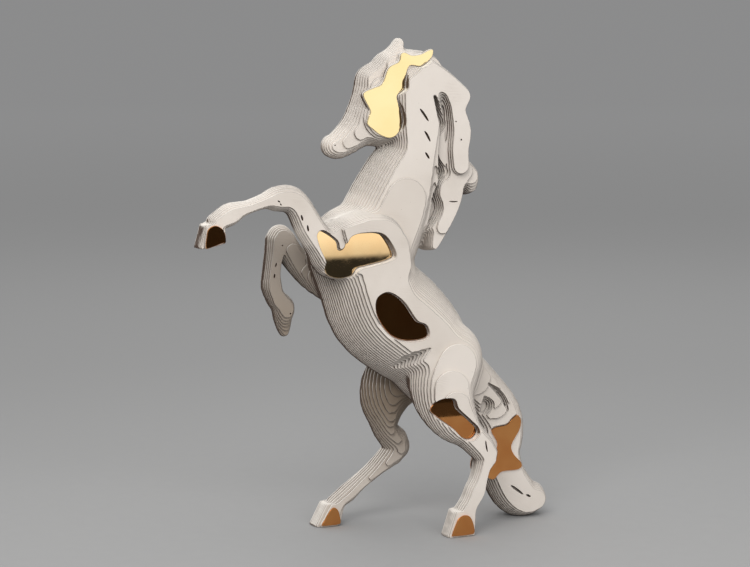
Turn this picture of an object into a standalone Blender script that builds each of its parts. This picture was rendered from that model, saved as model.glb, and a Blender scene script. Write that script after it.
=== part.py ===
"""A rearing horse built up from cut boards that stand side by side, with polished gold plates
let into them. The boards lie in the horse's own plane of symmetry and in planes beside it, so
each one is a slice of the figure. The horse looks along -X and its left side faces -Y.

The figure is a rounded body made of limbs, each a chain of stations. A board is the section of
that body at its middle plane, drawn as a flat outline and extruded to the board's thickness."""

import math
from collections import namedtuple

import bpy
import numpy as np

# Driving sizes, in millimetres
HEIGHT = 500.0  # ground to the tip of the forelock
BOARD_PITCH = 5.0  # from one board's middle to the next
SEAM = 0.35  # between a board and its neighbour
PLATE_THICKNESS = 1.6  # gold plate
PLATE_GAP = 0.3  # between a plate and the board behind it
PLATE_CLEARANCE = 1.1  # around a plate, in its window
PLATE_MARGIN = 0.6  # how far the board behind a plate reaches past it
SLIT_WIDTH = 1.8
GRID = 1.25  # spacing of the points where the body is sampled
OUTLINE_TOLERANCE = 0.8  # how far a board's outline may leave the true section
SMALLEST_PIECE = 150.0  # square millimetres, the smallest piece of board worth cutting

UNIT = HEIGHT / 500.0  # the figure's proportions are counted in this
EDGE_POWER = 1.3  # 1 is an edge that slopes off straight, 2 one that rounds off like an oval
BLEND = 5.0  # how far the limbs melt into each other, in units
STRETCHES = 3  # straight stretches that a limb takes from one of its stations to the next
MM = 0.001

# A station: its place fore and aft, its height, its place to the side, then half the limb's
# depth seen from the side and half its width seen from the front, all in units
Station = namedtuple("Station", "x z y deep wide")

# A limb: how much of its depth has the full width before its edge slopes off, and its stations
Limb = namedtuple("Limb", "flat stations")
LIMBS = {
    "trunk": Limb(0.36, [
        Station(-26, 288, 0, 47, 44),
        Station(-10, 260, 0, 52, 48),
        Station(3, 233, 0, 55, 48),
        Station(26, 213, 0, 55, 48),
        Station(50, 192, 0, 50, 48),
        Station(66, 168, 0, 44, 46),
        Station(76, 156, 0, 37, 40),
    ]),
    "left_shoulder": Limb(0.72, [
        Station(-44, 296, -20, 29, 28),
        Station(-14, 298, -20, 33, 28),
        Station(0, 278, -20, 23, 28),
    ]),
    "right_shoulder": Limb(0.72, [
        Station(-36, 292, 20, 29, 28),
        Station(-14, 298, 20, 33, 28),
        Station(0, 278, 20, 23, 28),
    ]),
    "neck": Limb(0.5, [
        Station(0, 300, 0, 48, 34),
        Station(14, 330, 0, 45, 34),
        Station(25, 358, 0, 38, 33.5),
        Station(35, 386, 0, 28, 33),
        Station(37, 416, 0, 33, 33),
        Station(36, 446, 0, 32, 33),
    ]),
    "head": Limb(0.3, [
        Station(-1, 450, 0, 22, 18),
        Station(-5, 426, 0, 24, 19),
        Station(-23, 406, 0, 18, 17),
        Station(-40, 394, 0, 14, 13.5),
        Station(-47, 393, 0, 11.5, 12),
    ]),
    "cheek": Limb(0.6, [
        Station(6, 438, 0, 26, 22.5),
        Station(1, 421, 0, 30, 22.5),
    ]),
    "poll": Limb(0.5, [
        Station(12, 472, 0, 12, 17),
        Station(32, 473, 0, 14, 22.5),
        Station(52, 472, 0, 12, 22.5),
    ]),
    "forelock": Limb(0.4, [
        Station(-8, 459, 0, 11, 15),
        Station(7, 469, 0, 10.5, 15),
        Station(19, 480, 0, 9.5, 12),
        Station(25, 493, 0, 5, 8),
    ]),
    "left_foreleg": Limb(0.5, [
        Station(-47, 285, -24, 22, 24),
        Station(-62, 288, -29, 21, 19),
        Station(-75, 302, -33, 16.5, 15),
        Station(-88, 320, -35, 15, 13),
        Station(-98, 338, -35, 13.5, 12.5),
        Station(-108, 346, -35, 13.5, 12),
        Station(-121, 346.5, -35, 12, 12),
        Station(-133, 345, -35, 7.5, 11.5),
        Station(-150, 340, -35, 6.5, 11.5),
        Station(-161, 337, -35, 8.5, 11.5),
        Station(-170, 333, -35, 11, 12),
        Station(-183, 327, -35, 8.5, 11.5),
    ]),
    "right_foreleg": Limb(0.5, [
        Station(-32, 264, 20, 32, 22),
        Station(-58, 262, 29, 14, 14),
        Station(-75, 281, 33, 13, 12.5),
        Station(-89, 301, 34, 13, 12.5),
        Station(-95, 285, 34, 9.5, 12),
        Station(-98, 268, 34, 8.5, 12),
        Station(-98, 252, 34, 10.5, 12),
        Station(-94, 240, 34, 8.5, 12),
    ]),
    "right_fore_hoof": Limb(0.5, [
        Station(-92, 239, 34, 9, 12),
        Station(-86, 231, 34, 12, 12),
        Station(-85, 221, 37, 10, 9.5),
        Station(-83, 211, 40, 7.5, 6.5),
        Station(-82, 205, 41, 5, 5.5),
    ]),
    "left_hind_leg": Limb(0.5, [
        Station(68, 174, -22, 41, 27),
        Station(61, 156, -28, 37, 23),
        Station(62, 138, -33, 32, 20.5),
        Station(70, 119, -38, 25, 17.5),
        Station(83, 103, -42, 16.5, 14.5),
        Station(101, 82, -45, 13.5, 12.5),
        Station(97, 68, -46, 8, 11.5),
        Station(93, 55, -47, 7.5, 11.5),
        Station(89, 44, -47, 10, 11.5),
        Station(83, 33, -47, 8.5, 11.5),
        Station(78, 25, -47, 9.5, 11.5),
    ]),
    "right_hind_leg": Limb(0.2, [
        Station(60, 169, 25, 38, 23),
        Station(36, 150, 32, 34, 21),
        Station(28, 132, 36, 28, 20),
        Station(28, 113, 39, 19, 18.5),
        Station(31, 96, 42, 13.5, 16),
        Station(45, 76, 45, 15, 14.5),
        Station(24, 56, 47.5, 9.5, 13),
        Station(4, 41, 49, 8.5, 12),
        Station(-8, 31, 50, 10, 12),
        Station(-17, 25, 50, 9, 12),
        Station(-23, 20, 50, 9.5, 12),
    ]),
    "tail": Limb(0.5, [
        Station(98, 158, 0, 26, 24),
        Station(122, 133, 2, 26, 21),
        Station(139, 108, 4, 29, 19),
        Station(142, 88, 5, 30, 19),
        Station(141, 70, 5, 27, 19),
        Station(148, 48, 5, 24, 19),
        Station(158, 30, 5, 24, 19),
        Station(170, 19, 5, 21.5, 19),
        Station(181, 18, 5, 17, 18),
    ]),
    "mane_root": Limb(0.2, [
        Station(46, 440, 0, 12, 31),
        Station(57, 414, 0, 13, 31),
        Station(58, 388, 0, 13, 31),
        Station(59, 362, 0, 13, 30),
        Station(58, 338, 0, 13, 26),
        Station(50, 314, 0, 12, 26),
    ]),
    "mane_crest": Limb(0.5, [
        Station(46, 464, 0, 19, 33),
        Station(62, 455, 0, 17, 33),
        Station(80, 440, 0, 17, 33),
    ]),
    "mane": Limb(0.5, [
        Station(74, 437, 0, 12, 33),
        Station(77, 424, 0, 13.5, 33),
        Station(81, 406, 0, 17, 33),
        Station(79, 388, 0, 16, 33),
        Station(80, 372, 0, 16, 32),
    ]),
    "mane_curl": Limb(0.5, [
        Station(83, 366, 0, 18, 27),
        Station(95, 360, 0, 15, 24),
        Station(99, 350, 0, 10.5, 18),
    ]),
    "mane_end": Limb(0.5, [
        Station(76, 352, 0, 17, 28),
        Station(73, 337, 0, 16.5, 28),
        Station(67, 321, 0, 15, 27),
        Station(60, 305, 0, 11.5, 26),
        Station(55, 292, 0, 7, 24),
    ]),
}

# What is carved out of the body, written like the limbs
MANE_GROOVE = Limb(0.0, [
    Station(50, 441, 0, 2, 14),
    Station(57, 427, 0, 6, 22),
    Station(63, 413, 0, 8.5, 24),
    Station(59, 403, 0, 3, 16),
    Station(57, 389, 0, 2, 14),
    Station(58, 378, 0, 4, 18),
    Station(62, 365, 0, 8.5, 24),
    Station(58, 353, 0, 4, 18),
    Station(55, 342, 0, 6, 21),
    Station(56, 329, 0, 9.5, 25),
    Station(50, 314, 0, 7, 22),
    Station(41, 297, 0, 3, 16),
])


def beside(limb, y):
    """The same limb moved to the side."""
    return Limb(limb.flat, [station._replace(y=station.y + y) for station in limb.stations])


CARVINGS = {
    "left_mane_groove": beside(MANE_GROOVE, -38),
    "right_mane_groove": beside(MANE_GROOVE, 38),
    "left_chest_crease": Limb(0.0, [Station(-57, 318, -54, 3, 11), Station(-52, 300, -54, 3, 11)]),
    "left_flank_fold": Limb(0.0, [Station(46, 197, -52, 1, 2), Station(30, 187, -52, 7, 12),
                                  Station(8, 172, -52, 17, 30)]),
    "tail_pocket": Limb(0.0, [Station(114, 134, -24, 2, 6), Station(118, 124, -24, 9, 16),
                              Station(116, 118, -24, 8, 15)]),
    "tail_crease": Limb(0.0, [Station(118, 147, -26, 2, 9), Station(134, 134, -26, 5, 16),
                              Station(143, 119, -26, 4, 15), Station(146, 110, -26, 2, 9)]),
}

# Slits cut right through one board: the board's number and the ends of each slit
SLITS = {
    -6: [((34, 429), (43, 417)), ((39, 407), (45, 398)), ((41, 386), (44, 381))],
    -9: [((-106, 340), (-101, 333)), ((-95, 329), (-93, 323)), ((-89, 319), (-88, 312))],
}

# A hoof: the middle of its sole, the middle of its top, half its length and half its width at
# the sole and at the top, and how far its sole leans from level, in degrees
Hoof = namedtuple("Hoof", "sole top long wide top_long top_wide lean")
HOOVES = {
    "left_hind_hoof": Hoof((70, 0, -47.5), (75, 26, -47.5), 15.5, 12, 11.5, 11.5, 0),
    "right_hind_hoof": Hoof((-34, 0, 50), (-25, 23, 50), 14.5, 12, 11, 11.5, 0),
    "left_fore_hoof": Hoof((-189, 305, -35), (-186, 327, -35), 14, 12, 10.5, 11.5, 10.5),
}

# A gold plate: the side it's on, the number of the board behind it counted from the middle one,
# and the points that its smooth outline goes through, across and up, in units
Plate = namedtuple("Plate", "side board points")
LEFT_CHEEK = [
    (52, 486), (50, 479), (39, 471), (26, 471), (21, 457), (20, 449), (13, 443), (13, 437),
    (16, 429), (18, 417), (16, 409), (11, 403), (4, 401), (-5, 404), (-12, 409), (-19, 415),
    (-18, 421), (-16, 428), (-23, 441), (-22, 446), (-12, 450), (-3, 454), (4, 469), (15, 475),
    (17, 482), (21, 484), (29, 481), (39, 482), (48, 486),
]
RIGHT_CHEEK = [(26, 472), (14, 444), (17, 416), (6, 400), (-10, 408), (-8, 430), (4, 462)]
LEFT_CHEST = [
    (-82, 311), (-76, 314), (-61, 304), (-58, 295), (-52, 296), (-46, 307), (-30, 310),
    (-12, 307), (0, 289), (-5, 283), (-24, 279), (-38, 276), (-44, 269), (-58, 267),
    (-70, 272), (-73, 286), (-79, 299),
]
RIGHT_CHEST = [(-50, 300), (-30, 308), (-10, 302), (0, 288), (-20, 276), (-44, 278)]
BELLY = [
    (-17, 247), (-6, 250), (9, 240), (23, 221), (34, 215), (35, 204), (14, 202), (-4, 209),
    (-17, 226), (-20, 239),
]
LEFT_THIGH = [
    (38, 131), (46, 139), (61, 140), (66, 130), (80, 117), (89, 107), (84, 99), (74, 100),
    (61, 112), (46, 123),
]
RIGHT_THIGH = [(14, 142), (24, 150), (36, 144), (46, 128), (42, 114), (30, 112), (19, 124)]
TAIL = [
    (150, 107), (156, 110), (160, 104), (158, 94), (149, 79), (152, 69), (161, 59), (158, 53),
    (138, 52), (129, 45), (122, 48), (122, 60), (133, 80), (126, 97), (143, 101),
]
LEFT_HIND_SOLE = [
    (58, 3), (61, 11), (65, 19), (70, 22), (75, 22), (79, 19), (82, 12), (83, 4), (79, 2), (61, 2),
]
RIGHT_HIND_SOLE = [
    (-43, 3), (-39, 9), (-36, 14), (-33, 18), (-29, 20), (-25, 17), (-23, 11), (-22, 4), (-25, 2),
    (-40, 2),
]
LEFT_FORE_SOLE = [
    (-198, 305), (-197, 315), (-195, 322), (-189, 325), (-183, 323), (-179, 318), (-178, 309),
    (-182, 308), (-195, 304),
]
PLATES = {
    "left_cheek": Plate(-1, 4, LEFT_CHEEK),
    "right_cheek": Plate(1, 4, RIGHT_CHEEK),
    "left_chest": Plate(-1, 7, LEFT_CHEST),
    "right_chest": Plate(1, 7, RIGHT_CHEST),
    "left_belly": Plate(-1, 8, BELLY),
    "right_belly": Plate(1, 8, BELLY),
    "left_thigh": Plate(-1, 9, LEFT_THIGH),
    "right_thigh": Plate(1, 10, RIGHT_THIGH),
    "left_tail": Plate(-1, 2, TAIL),
    "right_tail": Plate(1, 4, TAIL),
    "left_hind_hoof": Plate(-1, 11, LEFT_HIND_SOLE),
    "right_hind_hoof": Plate(-1, -8, RIGHT_HIND_SOLE),
    "left_fore_hoof": Plate(-1, 9, LEFT_FORE_SOLE),
}


def capsule(point, a, b, flat):
    """How far a point lies outside the stretch between two stations, whose sides are flat."""
    x, y, z = point
    flatten = (a.deep + b.deep) * (1 - flat) / (a.wide + b.wide)
    along = ((b.x - a.x) * UNIT, (b.y - a.y) * UNIT * flatten, (b.z - a.z) * UNIT)
    reach = sum(c * c for c in along)
    off = (x - a.x * UNIT, (y - a.y * UNIT) * flatten, z - a.z * UNIT)
    t = np.clip(sum(o * c for o, c in zip(off, along)) / reach, 0, 1)
    deep = (a.deep + t * (b.deep - a.deep)) * UNIT
    wide = (a.wide + t * (b.wide - a.wide)) * UNIT
    edge = deep * (1 - flat)
    past_flat = np.maximum(np.hypot(off[0] - t * along[0], off[2] - t * along[2]) - deep * flat, 0)
    aside = np.abs(y - (a.y + t * (b.y - a.y)) * UNIT) * edge / wide
    return (past_flat**EDGE_POWER + aside**EDGE_POWER) ** (1 / EDGE_POWER) - edge


def smooth_union(a, b, width):
    h = np.clip(0.5 + 0.5 * (b - a) / width, 0, 1)
    return b + (a - b) * h - width * h * (1 - h)


def eased(stations):
    """The stations of a limb, with more on the smooth curve from each one to the next."""
    knots = np.array([stations[0], *stations, stations[-1]], float)
    curve = []
    for before, a, b, after in zip(knots, knots[1:], knots[2:], knots[3:]):
        for t in np.arange(STRETCHES) / STRETCHES:
            bend = t * (2 * before - 5 * a + 4 * b - after + t * (3 * (a - b) + after - before))
            curve.append(Station(*(a + t / 2 * (b - before + bend))))
    return curve + [stations[-1]]


def limb_field(point, limb):
    """How far a point lies outside a limb. Points clear of a stretch aren't measured from it."""
    x, y, z = point
    field = np.full(x.shape, 1e3)
    stations = eased(limb.stations)
    for a, b in zip(stations, stations[1:]):
        aside = min(abs(y / UNIT - a.y) - a.wide, abs(y / UNIT - b.y) - b.wide)
        if aside > abs(a.y - b.y):
            continue
        around = (max(a.deep, b.deep) + 2 * BLEND) * UNIT
        near = (x > min(a.x, b.x) * UNIT - around) & (x < max(a.x, b.x) * UNIT + around)
        near &= (z > min(a.z, b.z) * UNIT - around) & (z < max(a.z, b.z) * UNIT + around)
        field[near] = np.minimum(field[near], capsule((x[near], y, z[near]), a, b, limb.flat))
    return field


def hoof_field(point, hoof):
    """Outside a leaning oval cone that is cut off flat at the sole and at the top."""
    x, y, z = point
    lean = math.radians(hoof.lean)
    up = (-math.sin(lean), math.cos(lean))
    ahead = (math.cos(lean), math.sin(lean))
    sx, sz, sy = (c * UNIT for c in hoof.sole)
    tx, tz, ty = (c * UNIT for c in hoof.top)
    height = (tx - sx) * up[0] + (tz - sz) * up[1]
    rise = ((x - sx) * up[0] + (z - sz) * up[1]) / height
    t = np.clip(rise, 0, 1)
    fore = (x - sx - t * (tx - sx)) * ahead[0] + (z - sz - t * (tz - sz)) * ahead[1]
    side = y - sy - t * (ty - sy)
    long = (hoof.long + t * (hoof.top_long - hoof.long)) * UNIT
    wide = (hoof.wide + t * (hoof.top_wide - hoof.wide)) * UNIT
    cone = (((fore / long) ** 4 + (side / wide) ** 4) ** 0.25 - 1) * np.minimum(long, wide)
    return np.maximum(cone, np.maximum(-rise, rise - 1) * height)


def body_field(point):
    """Below zero inside the horse. The point is arrays of x and z, and one y, in millimetres."""
    field = np.full(point[0].shape, 1e3)
    for limb in LIMBS.values():
        field = smooth_union(field, limb_field(point, limb), BLEND * UNIT)
    for hoof in HOOVES.values():
        field = smooth_union(field, hoof_field(point, hoof), 1.5 * UNIT)
    for carving in CARVINGS.values():
        field = np.maximum(field, -limb_field(point, carving))
    return np.maximum(field, -point[2])


def smooth_outline(points, steps=4):
    """A closed curve through the points, as Catmull and Rom draw it."""
    p = np.array(points, float) * UNIT
    before, after, beyond = np.roll(p, 1, 0), np.roll(p, -1, 0), np.roll(p, -2, 0)
    runs = []
    for t in np.arange(steps) / steps:
        runs.append(
            0.5
            * (
                2 * p
                + (after - before) * t
                + (2 * before - 5 * p + 4 * after - beyond) * t**2
                + (3 * p - before - 3 * after + beyond) * t**3
            )
        )
    return np.stack(runs, axis=1).reshape(-1, 2)


def area(loop):
    x, z = loop[:, 0], loop[:, 1]
    return 0.5 * float(np.sum(x * np.roll(z, -1) - np.roll(x, -1) * z))


def holds(loop, x, z):
    """Whether a closed line goes round each of these points."""
    inside = np.zeros(np.shape(x), bool)
    for (ax, az), (bx, bz) in zip(loop, np.roll(loop, -1, 0)):
        if az != bz:
            crosses = (az > z) != (bz > z)
            inside ^= crosses & (x < ax + (z - az) * (bx - ax) / (bz - az))
    return inside


def loop_field(loop, x, z):
    """How far each point lies outside a closed line, below zero inside it."""
    nearest = np.full(x.shape, 1e6)
    for a, b in zip(loop, np.roll(loop, -1, 0)):
        along = b - a
        t = np.clip(((x - a[0]) * along[0] + (z - a[1]) * along[1]) / (along @ along), 0, 1)
        nearest = np.minimum(nearest, np.hypot(x - a[0] - t * along[0], z - a[1] - t * along[1]))
    return np.where(holds(loop, x, z), -nearest, nearest)


def board_field(body, index, plate_fields):
    """A board's section, grown behind the plates that rest on it and cut away in front of them."""
    field = body
    for name, plate in PLATES.items():
        seat = plate.side * plate.board
        above = (index - seat) * plate.side
        if above == 0:
            field = np.minimum(field, plate_fields[name] - PLATE_MARGIN)
        elif 0 < above < 4:
            field = np.maximum(field, PLATE_CLEARANCE - plate_fields[name])
    return field


def sample_grid():
    """The x and z of the points where each section is sampled, with a margin all round."""
    stations = [s for limb in LIMBS.values() for s in limb.stations]
    hooves = list(HOOVES.values())
    low = min([s.x - s.deep for s in stations] + [h.sole[0] - 2 * h.long for h in hooves])
    high = max([s.x + s.deep for s in stations] + [h.sole[0] + 2 * h.long for h in hooves])
    top = max(s.z + s.deep for s in stations)
    xs = np.arange((low - BLEND) * UNIT, (high + BLEND) * UNIT, GRID)
    zs = np.arange(-3.5 * GRID, (top + BLEND) * UNIT, GRID)
    return xs, zs


# Each cell of the grid, by which of its corners are inside: the edges that the outline crosses,
# in pairs, in the order that keeps the inside on its left. Edges: 0 below, 1 right, 2 above, 3 left
CROSSINGS = {
    1: [(0, 3)], 2: [(1, 0)], 3: [(1, 3)], 4: [(2, 1)], 5: [(0, 3), (2, 1)],
    6: [(2, 0)], 7: [(2, 3)], 8: [(3, 2)], 9: [(0, 2)], 10: [(1, 0), (3, 2)],
    11: [(1, 2)], 12: [(3, 1)], 13: [(0, 1)], 14: [(3, 0)],
}


def outlines(field, xs, zs):
    """The closed lines where the field is zero, outer ones anticlockwise and holes clockwise."""
    inside = field < 0
    case = (
        inside[:-1, :-1] * 1 + inside[1:, :-1] * 2 + inside[1:, 1:] * 4 + inside[:-1, 1:] * 8
    )
    follows = {}
    for i, j in zip(*np.nonzero((case > 0) & (case < 15))):
        edges = ((i, j, 0), (i + 1, j, 1), (i, j + 1, 0), (i, j, 1))
        for start, end in CROSSINGS[int(case[i, j])]:
            follows[edges[start]] = edges[end]

    def crossing(edge):
        i, j, upright = edge
        k, l = (i, j + 1) if upright else (i + 1, j)
        t = field[i, j] / (field[i, j] - field[k, l])
        t = min(max(t, 0.02), 0.98)
        return xs[i] + t * (xs[k] - xs[i]), zs[j] + t * (zs[l] - zs[j])

    loops = []
    while follows:
        edge, following = follows.popitem()
        loop = [crossing(edge)]
        while following in follows:
            loop.append(crossing(following))
            following = follows.pop(following)
        loops.append(np.array(loop))
    return loops


def thin_out(run, tolerance):
    """The points of an open run that its shape needs, by the farthest-point rule."""
    if len(run) < 3:
        return run[:1]
    chord = run[-1] - run[0]
    off = run[1:-1] - run[0]
    length = math.hypot(*chord)
    if length < 1e-9:
        away = np.hypot(off[:, 0], off[:, 1])
    else:
        away = np.abs(off[:, 0] * chord[1] - off[:, 1] * chord[0]) / length
    far = int(away.argmax())
    if away[far] < tolerance:
        return run[:1]
    return np.vstack([thin_out(run[: far + 2], tolerance), thin_out(run[far + 1 :], tolerance)])


def simplified(loop, tolerance):
    start = int(loop[:, 0].argmin())
    loop = np.roll(loop, -start, axis=0)
    far = int(np.hypot(*(loop - loop[0]).T).argmax())
    closed = np.vstack([loop, loop[:1]])
    return np.vstack([thin_out(closed[: far + 1], tolerance), thin_out(closed[far:], tolerance)])


def set_down(loop):
    """The same outline, with the points that thinning out left just above the ground put on it."""
    x, z = loop.T
    return np.column_stack([x, np.where(z < OUTLINE_TOLERANCE, 0, z)])


def pieces(field, xs, zs):
    """The separate pieces of board in a section, largest first, each an outline and its holes."""
    loops = [set_down(simplified(l, OUTLINE_TOLERANCE)) for l in outlines(field, xs, zs)]
    loops = [l for l in loops if len(l) > 3]
    outer = sorted((l for l in loops if area(l) > SMALLEST_PIECE), key=area, reverse=True)
    holes = [l for l in loops if area(l) < -0.1 * SMALLEST_PIECE]
    return [[o] + [h for h in holes if holds(o, h[0, 0], h[0, 1])] for o in outer]


def slit_loops(index):
    """The slits of a board, each a thin four-cornered loop."""
    loops = []
    for ends in SLITS.get(index, []):
        a, b = np.array(ends, float) * UNIT
        along = (b - a) / math.hypot(*(b - a))
        aside = np.array([-along[1], along[0]]) * SLIT_WIDTH / 2
        loops.append(np.array([a, (a + b) / 2 - aside, b, (a + b) / 2 + aside]))
    return loops


def material(name, colour, roughness, metallic):
    made = bpy.data.materials.new(name)
    made.use_nodes = True
    shader = made.node_tree.nodes["Principled BSDF"]
    shader.inputs["Base Color"].default_value = (*colour, 1)
    shader.inputs["Roughness"].default_value = roughness
    shader.inputs["Metallic"].default_value = metallic
    return made


def flat_piece(name, loops, y, thickness, finish):
    """A flat outline with its holes, stood upright in the plane y and given its thickness."""
    curve = bpy.data.curves.new(name, "CURVE")
    curve.dimensions = "2D"
    curve.fill_mode = "BOTH"
    curve.extrude = thickness / 2 * MM
    for loop in loops:
        spline = curve.splines.new("POLY")
        spline.points.add(len(loop) - 1)
        for target, (x, z) in zip(spline.points, loop):
            target.co = (x * MM, z * MM, 0, 1)
        spline.use_cyclic_u = True
    curve.materials.append(finish)
    made = bpy.data.objects.new(name, curve)
    made.rotation_euler = (math.pi / 2, 0, 0)
    made.location = (0, y * MM, 0)
    bpy.context.scene.collection.objects.link(made)
    return made


def side_name(index):
    if index == 0:
        return "middle"
    return f"{'left' if index < 0 else 'right'}_{abs(index):02d}"


def nearest_limb(loop, y):
    """The limb that a piece of board belongs to most: the one its points lie deepest in."""
    middle = loop.mean(axis=0)
    points = (np.append(loop[:, 0], middle[0]), y, np.append(loop[:, 1], middle[1]))
    depth = {name: limb_field(points, limb).mean() for name, limb in LIMBS.items()}
    return min(depth, key=depth.get)


def boards(xs, zs):
    """Cuts every board of the horse. Returns the objects."""
    white = material("board", (0.82, 0.77, 0.71), 0.75, 0.0)
    x, z = np.meshgrid(xs, zs, indexing="ij")
    plate_fields = {n: loop_field(smooth_outline(p.points), x, z) for n, p in PLATES.items()}
    widest = max(abs(h.sole[2]) + h.wide for h in HOOVES.values()) * UNIT
    most = int(widest / BOARD_PITCH)
    made = []
    for index in range(-most, most + 1):
        y = index * BOARD_PITCH
        field = board_field(body_field((x, y, z)), index, plate_fields)
        for number, loops in enumerate(pieces(field, xs, zs)):
            name = f"board_{side_name(index)}"
            if number:
                name += f"_{nearest_limb(loops[0], y)}"
            slits = [s for s in slit_loops(index) if holds(loops[0], s[:, 0], s[:, 1]).all()]
            made.append(flat_piece(name, loops + slits, y, BOARD_PITCH - SEAM, white))
    return made


def plates():
    """Lays every gold plate on its board. Returns the objects."""
    gold = material("gold", (0.86, 0.58, 0.28), 0.12, 1.0)
    made = []
    for name, plate in PLATES.items():
        face = plate.side * plate.board * BOARD_PITCH + plate.side * (BOARD_PITCH - SEAM) / 2
        y = face + plate.side * (PLATE_GAP + PLATE_THICKNESS / 2)
        outline = simplified(smooth_outline(plate.points), OUTLINE_TOLERANCE / 2)
        made.append(flat_piece(f"plate_{name}", [outline], y, PLATE_THICKNESS, gold))
    return made


def stand_on_origin(made):
    """Moves everything so that the origin is under the middle of the box around the horse."""
    xs = [p.co[0] for piece in made for spline in piece.data.splines for p in spline.points]
    low = min(piece.location.y - piece.data.extrude for piece in made)
    high = max(piece.location.y + piece.data.extrude for piece in made)
    for piece in made:
        piece.location.x -= (min(xs) + max(xs)) / 2
        piece.location.y -= (low + high) / 2


def main():
    for old in list(bpy.data.objects):
        bpy.data.objects.remove(old)
    stand_on_origin(boards(*sample_grid()) + plates())


main()
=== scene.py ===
"""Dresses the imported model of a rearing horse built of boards, with gold plates let in.

Two boards are cut from the same rounded body in place of every solid one, as the photograph's
boards are thin, with a finer outline, softened edges and the small slits and holes that the
solids leave out. The plates get softened edges too. A camera at the photograph's angle and a
plain grey studio complete the scene. Lengths are millimetres up to the point where a mesh is
made, and the frame that they are counted in is moved onto the solids once."""

import math
from collections import namedtuple

import bpy
import numpy as np
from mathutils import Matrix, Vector
from mathutils.geometry import tessellate_polygon


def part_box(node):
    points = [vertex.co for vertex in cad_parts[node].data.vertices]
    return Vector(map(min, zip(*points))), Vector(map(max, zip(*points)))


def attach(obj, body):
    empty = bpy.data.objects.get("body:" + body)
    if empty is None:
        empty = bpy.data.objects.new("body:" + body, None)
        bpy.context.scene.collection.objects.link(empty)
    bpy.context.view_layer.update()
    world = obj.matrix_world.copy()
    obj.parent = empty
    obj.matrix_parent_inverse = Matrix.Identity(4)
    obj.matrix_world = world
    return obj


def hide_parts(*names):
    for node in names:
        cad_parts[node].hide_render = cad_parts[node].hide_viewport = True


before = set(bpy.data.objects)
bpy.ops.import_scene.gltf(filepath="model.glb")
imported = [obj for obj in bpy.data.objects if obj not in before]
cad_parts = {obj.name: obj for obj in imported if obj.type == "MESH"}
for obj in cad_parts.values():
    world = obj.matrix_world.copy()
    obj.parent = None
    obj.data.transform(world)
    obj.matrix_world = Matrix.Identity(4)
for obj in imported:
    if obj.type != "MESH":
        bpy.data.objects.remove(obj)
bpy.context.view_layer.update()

# What the solids are built from too, in millimetres
HEIGHT = 500.0
UNIT = HEIGHT / 500.0  # what places and sizes of the body are counted in
BOARD_PITCH = 5.0
SEAM = 0.35  # between one board and the next
PLATE_THICKNESS = 1.6
PLATE_GAP = 0.3  # behind a plate
PLATE_CLEARANCE = 1.1  # round a plate in its window
PLATE_MARGIN = 0.6  # of the board behind a plate, past the plate's outline
WINDOW_DEPTH = 3  # how many boards a plate's window is cut through
SMALLEST_PIECE = 150.0  # in square millimetres
SMALLEST_HOLE = 0.1 * SMALLEST_PIECE
EDGE_POWER = 1.3  # how a limb rounds off beside its flat middle
BLEND = 5.0  # where one limb runs into another
HOOF_BLEND = 1.5
STRETCHES = 3  # straight ones, from one station of a limb to the next
FAR_OUTSIDE = 1e3
MM = 0.001

# Sizes of the finish, in millimetres
GRID = 1.0  # spacing of the points where the body is sampled
PLIES = 2  # boards cut in place of one solid
PLY_PITCH = BOARD_PITCH / PLIES
POINT_SPACING = 1.5  # along a board's outline
PLATE_SPACING = 0.8  # along a plate's outline
BOARD_EDGE = 0.5  # radius of a board's softened edges
PLATE_EDGE = 0.3
SLIT_EDGE = 0.25
EDGE_STEPS = 2  # rows of faces in a softened edge
SLIT_CLEARANCE = 1.0  # from a slit to its board's edges
SLIT_STEPS = 9  # points along a slit
SLIT_BLUNTNESS = 1.06  # at 1 a slit's ends would be points
PLATE_REACH = 12.0  # how far from a plate its outline is measured
LEAN_FULL = 1.5  # how far the body's sides differ where it leans fully to one side
BARE = 20.0  # how far outside the body the places past its outermost boards count as

# Shares that keep an outline sound
CORNER_SHARE = 0.02  # of a cell's side, kept clear at each of its corners
MITRE_LIMIT = 0.6  # lower, and a sharp corner's point moves further in
LEAST_KEPT = 0.25  # of the length of an outline's edge, when it is moved in
FOLD_EASING = 0.7  # how much less an edge moves that kept too little
FOLD_TRIES = 20

# From the body's own frame to the solids' frame, in millimetres, as part.py centres them
SHIFT_X = 2.48
SHIFT_Y = -1.55

# Studio, in metres
FLOOR_REACH = 40.0
# The floor's grey near the horse, and the darker grey that is painted shade further off
FLOOR_NEAR = (0.35, 0.35, 0.35)
FLOOR_FAR = (0.31, 0.31, 0.31)
# A glowing sheet and a dark strip on the floor that only the gold mirrors: painted reflections
REFLECTOR_X = (0.02, 0.62)
REFLECTOR_Y = -0.70
REFLECTOR_TOP = 0.62
SHADE_STRIP_Y = (-0.70, -0.61)
SHADE_STRIP_Z = 0.001
GLOW = 1.08  # of the reflector, above its GLOW_BOTTOM and to the right of its GLOW_LEFT
GLOW_BOTTOM = 0.197
GLOW_TOP = 0.45
GLOW_LEFT = 0.17
GLOW_COLOUR = (1.0, 0.93, 0.82)
SKY_LOW = (0.26, 0.26, 0.262)
SKY_HIGH = (0.85, 0.85, 0.85)

# A light: its place, what it is aimed at, its width and height, its power in watts and its colour
Light = namedtuple("Light", "place target wide high power colour")
LIGHTS = {
    "key": Light((-1.3, -1.5, 1.75), (0, 0, 0.30), 1.6, 1.2, 31.0, (1.0, 0.985, 0.965)),
    "front": Light((0.5, -2.6, 1.5), (0, 0, 0.42), 1.8, 1.2, 16.5, (1, 1, 1)),
    "back": Light((0.9, 1.6, 1.8), (0, 0, 0.25), 1.6, 1.2, 7.0, (1, 1, 1)),
}

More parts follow.
